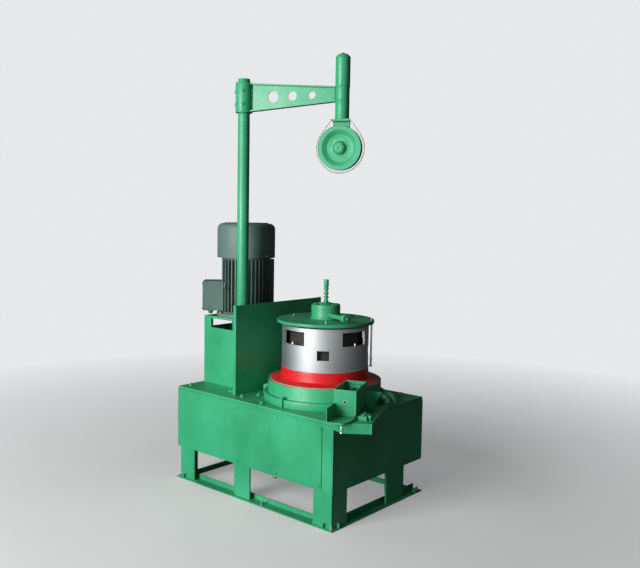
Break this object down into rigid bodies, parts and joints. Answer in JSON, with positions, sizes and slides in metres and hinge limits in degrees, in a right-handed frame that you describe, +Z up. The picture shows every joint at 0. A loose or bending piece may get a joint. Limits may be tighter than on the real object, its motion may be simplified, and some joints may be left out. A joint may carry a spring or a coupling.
{
  "type": "wire drawing machine block",
  "caption": "Upright drawing block for steel wire: welded base, windowed drum with flyer, die box, rear motor, and a post with an overhead pulley.",
  "frame": {"origin": "on the floor under the drum's axis", "axes": "+Z up, -Y is the operator's side with the die box, the wire runs from -X to +X, the motor is at +Y"},
  "size_m": [1.033, 1.6357, 2.816],
  "materials": {
    "green_paint": "satin machine enamel",
    "motor_paint": "satin blue-grey enamel",
    "red_paint": "gloss enamel",
    "drum_steel": "turned and sprayed silver",
    "bright_steel": "bright bar"
  },
  "bodies": {
    "frame": {"base_ring": "green_paint", "legs": "green_paint", "housing_floor": "green_paint", "housing_front": "green_paint", "housing_rear": "green_paint", "housing_inlet_end": "green_paint", "housing_outlet_end": "green_paint", "inlet_cover": "green_paint", "table_plate": "green_paint", "guard_plate": "green_paint", "guide_shelf": "green_paint", "die_tray": "green_paint", "soap_box": "green_paint", "die_clamp": "green_paint", "die_holder": "green_paint", "box_wing": "green_paint", "water_elbow_1": "green_paint", "water_elbow_2": "green_paint", "drum_seat": "green_paint", "post": "green_paint", "post_foot": "green_paint", "arm_collar": "green_paint", "arm_beam": "green_paint", "arm_sleeve": "green_paint", "spring_housing": "green_paint", "motor_stool": "green_paint", "shaft_housing": "green_paint", "motor_flange": "motor_paint", "motor_barrel": "motor_paint", "fan_cowl": "motor_paint", "terminal_box": "motor_paint"},
    "drum": {"drum_shell": "drum_steel", "drum_foot": "red_paint", "drum_core": "green_paint"},
    "flyer": {"flyer_disc": "green_paint", "flyer_hub": "green_paint", "flyer_spindle": "green_paint", "flyer_lever": "green_paint", "flyer_rod": "bright_steel"},
    "roller": {"guide_roller": "green_paint"},
    "pulley_swivel": {"pulley_stem": "green_paint", "pulley_bracket": "green_paint", "wheel_guard": "bright_steel"},
    "pulley": {"pulley_wheel": "green_paint"}
  },
  "joints": [
    {"name": "drum_spin", "type": "hinge", "parent": "frame", "child": "drum", "pos_m": [0, 0, 0.754], "axis": [0, 0, 1], "continuous": true},
    {"name": "flyer_spin", "type": "hinge", "parent": "drum", "child": "flyer", "pos_m": [0, 0, 1.134], "axis": [0, 0, 1], "continuous": true},
    {"name": "roller_spin", "type": "hinge", "parent": "flyer", "child": "roller", "pos_m": [-0.11577, -0.25944, 1.188], "axis": [-0.3256, -0.9455, 0], "continuous": true},
    {"name": "pulley_swing", "type": "hinge", "parent": "frame", "child": "pulley_swivel", "pos_m": [0, -0.104, 2.528], "axis": [0, 0, 1], "range_deg": [-90, 90]},
    {"name": "pulley_spin", "type": "hinge", "parent": "pulley_swivel", "child": "pulley", "pos_m": [-0.03775, -0.12242, 2.235], "axis": [0.8987, 0.4386, 0], "continuous": true}
  ]
}
